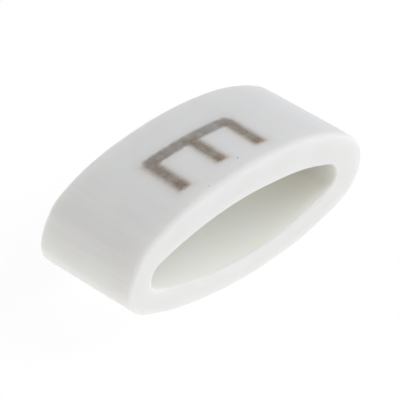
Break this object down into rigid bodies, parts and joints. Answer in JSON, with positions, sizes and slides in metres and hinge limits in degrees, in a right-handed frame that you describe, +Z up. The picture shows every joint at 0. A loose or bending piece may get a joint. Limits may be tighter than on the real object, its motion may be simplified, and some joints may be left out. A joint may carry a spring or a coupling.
{
  "type": "cable marker",
  "caption": "Slip-on cable marker: a short flexible white sleeve with an eye-shaped section and passage that grips the cable, its crown carrying an identification letter.",
  "frame": {"origin": "under the middle of the sleeve, on the surface that it lies on", "axes": "+X across the oval section from tip to tip, +Y along the cable, +Z up through the marked crown"},
  "size_m": [0.0108, 0.004, 0.0045],
  "materials": {
    "sleeve": "satin white soft polymer with a grey-brown laser mark"
  },
  "bodies": {
    "root": {"marker_sleeve": "sleeve"}
  },
  "joints": []
}
